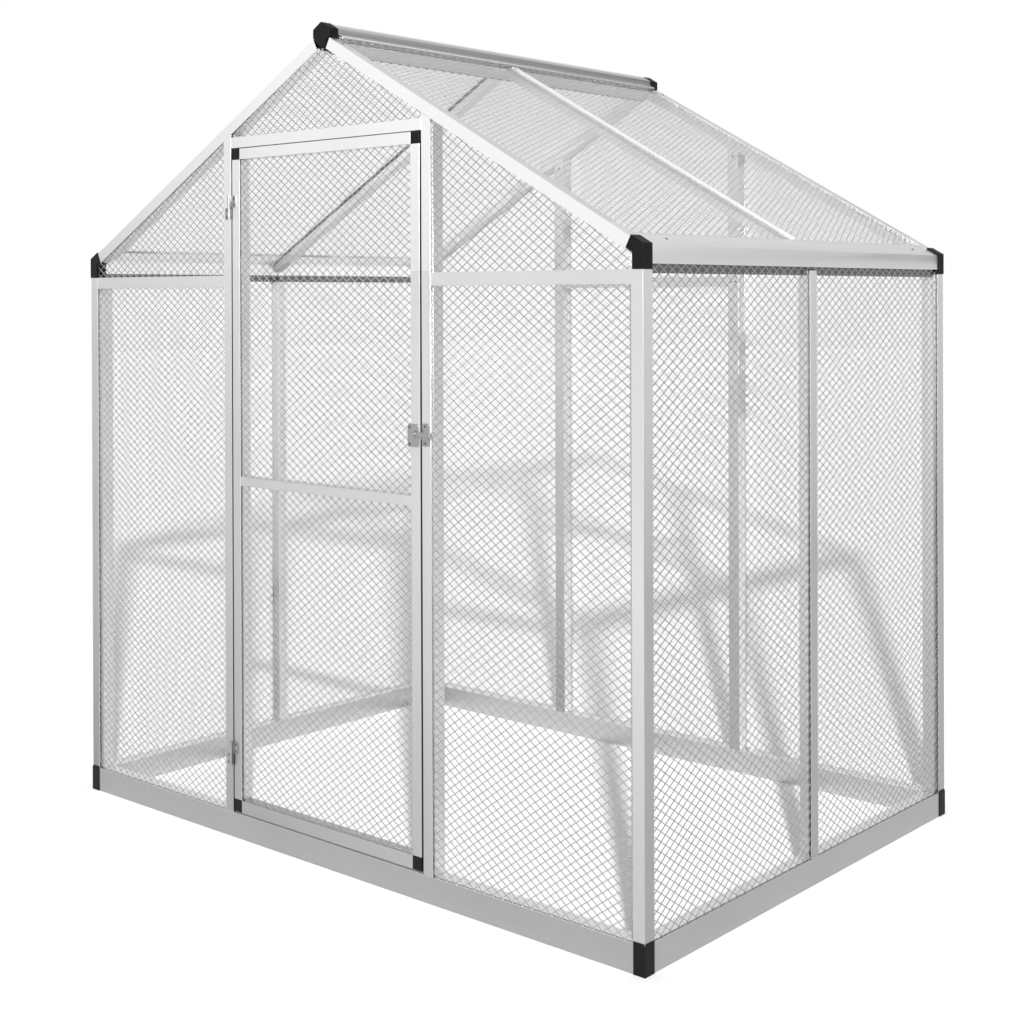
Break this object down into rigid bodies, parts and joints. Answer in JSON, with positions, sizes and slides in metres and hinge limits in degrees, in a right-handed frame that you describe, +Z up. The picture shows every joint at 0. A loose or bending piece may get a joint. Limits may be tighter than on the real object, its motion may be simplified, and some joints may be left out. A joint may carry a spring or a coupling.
{
  "type": "aviary",
  "caption": "Garden aviary with a gabled roof: an open-floored cabin of grooved aluminium bars, expanded metal mesh, black corner caps and a hinged, latched door.",
  "frame": {"origin": "middle of the footprint on the ground", "axes": "+X to the right along the gable wall that holds the door, +Y from that wall into the depth, +Z up"},
  "size_m": [1.88, 1.2291, 1.94],
  "materials": {
    "silver_aluminium": "satin",
    "mesh_aluminium": "satin",
    "black_plastic": "matte",
    "zinc_steel": "satin"
  },
  "bodies": {
    "root": {"base_corner_front_left": "black_plastic", "base_corner_front_right": "black_plastic", "base_corner_rear_left": "black_plastic", "base_corner_rear_right": "black_plastic", "sill_front": "silver_aluminium", "sill_rear": "silver_aluminium", "sill_left": "silver_aluminium", "sill_right": "silver_aluminium", "corner_post_front_left": "silver_aluminium", "corner_post_front_right": "silver_aluminium", "corner_post_rear_left": "silver_aluminium", "corner_post_rear_right": "silver_aluminium", "eave_cap_front_left": "black_plastic", "eave_cap_front_right": "black_plastic", "eave_cap_rear_left": "black_plastic", "eave_cap_rear_right": "black_plastic", "gable_rafter_front_left": "silver_aluminium", "gable_rafter_front_right": "silver_aluminium", "gable_rafter_rear_left": "silver_aluminium", "gable_rafter_rear_right": "silver_aluminium", "eave_rail_left": "silver_aluminium", "mid_rafter_left": "silver_aluminium", "side_mid_post_left": "silver_aluminium", "door_post_left": "silver_aluminium", "front_tie_left": "silver_aluminium", "rear_post_left": "silver_aluminium", "eave_rail_right": "silver_aluminium", "mid_rafter_right": "silver_aluminium", "side_mid_post_right": "silver_aluminium", "door_post_right": "silver_aluminium", "front_tie_right": "silver_aluminium", "rear_post_right": "silver_aluminium", "rear_tie": "silver_aluminium", "door_header": "silver_aluminium", "ridge_rail": "silver_aluminium", "ridge_cap_front": "black_plastic", "ridge_cap_rear": "black_plastic", "mesh_front": "mesh_aluminium", "mesh_rear": "mesh_aluminium", "mesh_left": "mesh_aluminium", "mesh_right": "mesh_aluminium", "mesh_roof_left": "mesh_aluminium", "mesh_roof_right": "mesh_aluminium", "hinge_frame_leaf_upper": "zinc_steel", "hinge_frame_leaf_lower": "zinc_steel", "latch_keeper": "zinc_steel"},
    "door": {"door_stile_left": "silver_aluminium", "door_stile_right": "silver_aluminium", "door_rail_top": "silver_aluminium", "door_rail_middle": "silver_aluminium", "door_rail_bottom": "silver_aluminium", "door_corner_bottom_left": "black_plastic", "door_corner_bottom_right": "black_plastic", "door_corner_top_left": "black_plastic", "door_corner_top_right": "black_plastic", "door_mesh": "mesh_aluminium", "hinge_door_leaf_upper": "zinc_steel", "hinge_door_leaf_lower": "zinc_steel", "latch_plate": "zinc_steel"},
    "lever": {"latch_lever": "zinc_steel"}
  },
  "joints": [
    {"name": "door_swing", "type": "hinge", "parent": "root", "child": "door", "pos_m": [-0.3365, -0.6145, 0.86], "axis": [0, 0, -1], "range_deg": [0, 170]},
    {"name": "latch_lift", "type": "hinge", "parent": "door", "child": "lever", "pos_m": [0.3065, -0.6115, 1.011], "axis": [0, -1, 0], "range_deg": [0, 90]}
  ]
}
